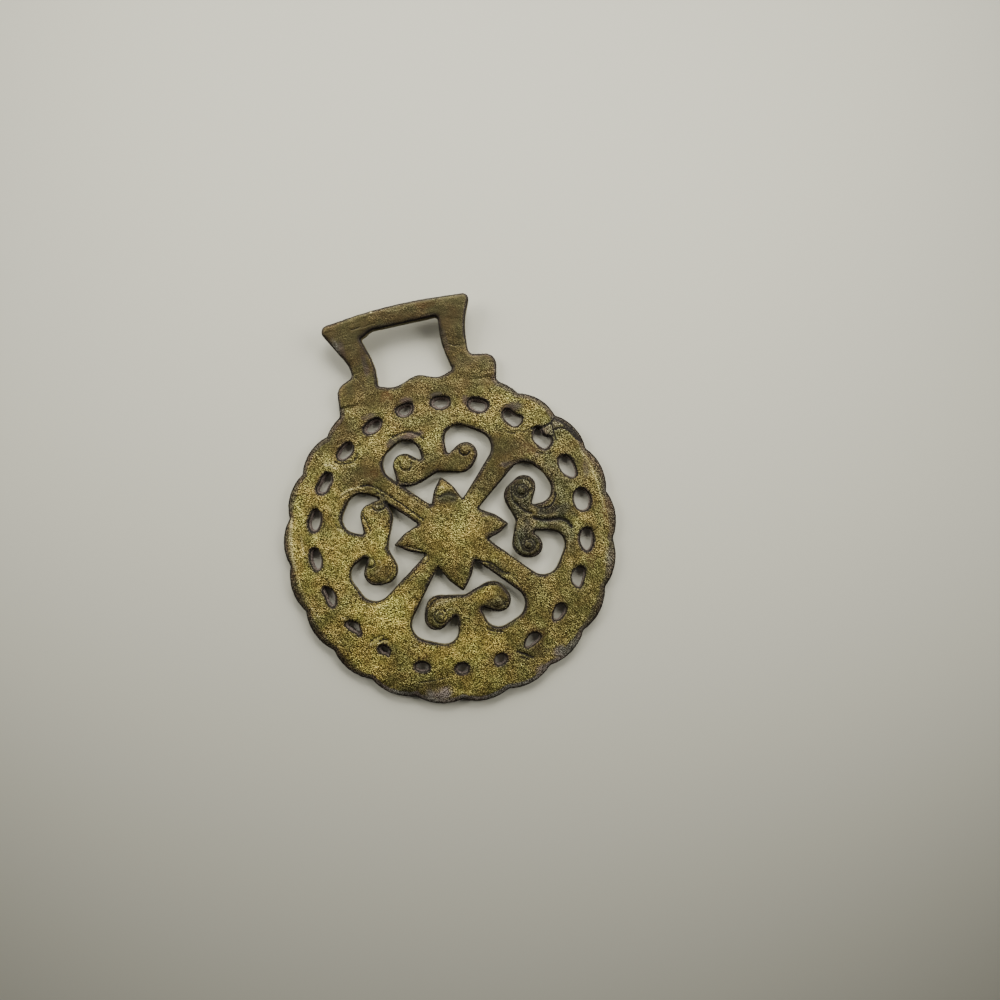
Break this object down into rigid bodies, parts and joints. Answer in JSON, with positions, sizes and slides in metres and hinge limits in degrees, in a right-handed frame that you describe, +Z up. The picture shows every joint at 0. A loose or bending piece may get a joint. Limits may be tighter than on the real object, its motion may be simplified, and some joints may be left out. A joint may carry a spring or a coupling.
{
  "type": "horse brass",
  "caption": "Flat cast brass harness ornament: a scalloped, pierced disc with curled scrolls round a four-pointed star, and a hanger with a slot for a strap.",
  "frame": {"origin": "middle of the disc, on the flat underside that it lies on", "axes": "+Z up out of the decorated face, +Y from the disc towards the hanger, +X to the right seen from above"},
  "size_m": [0.0802, 0.0969, 0.0049],
  "materials": {
    "cast_brass": "aged, unpolished sand casting with a dull olive-gold skin and dark dirt in its edges"
  },
  "bodies": {
    "root": {"horse_brass": "cast_brass"}
  },
  "joints": []
}
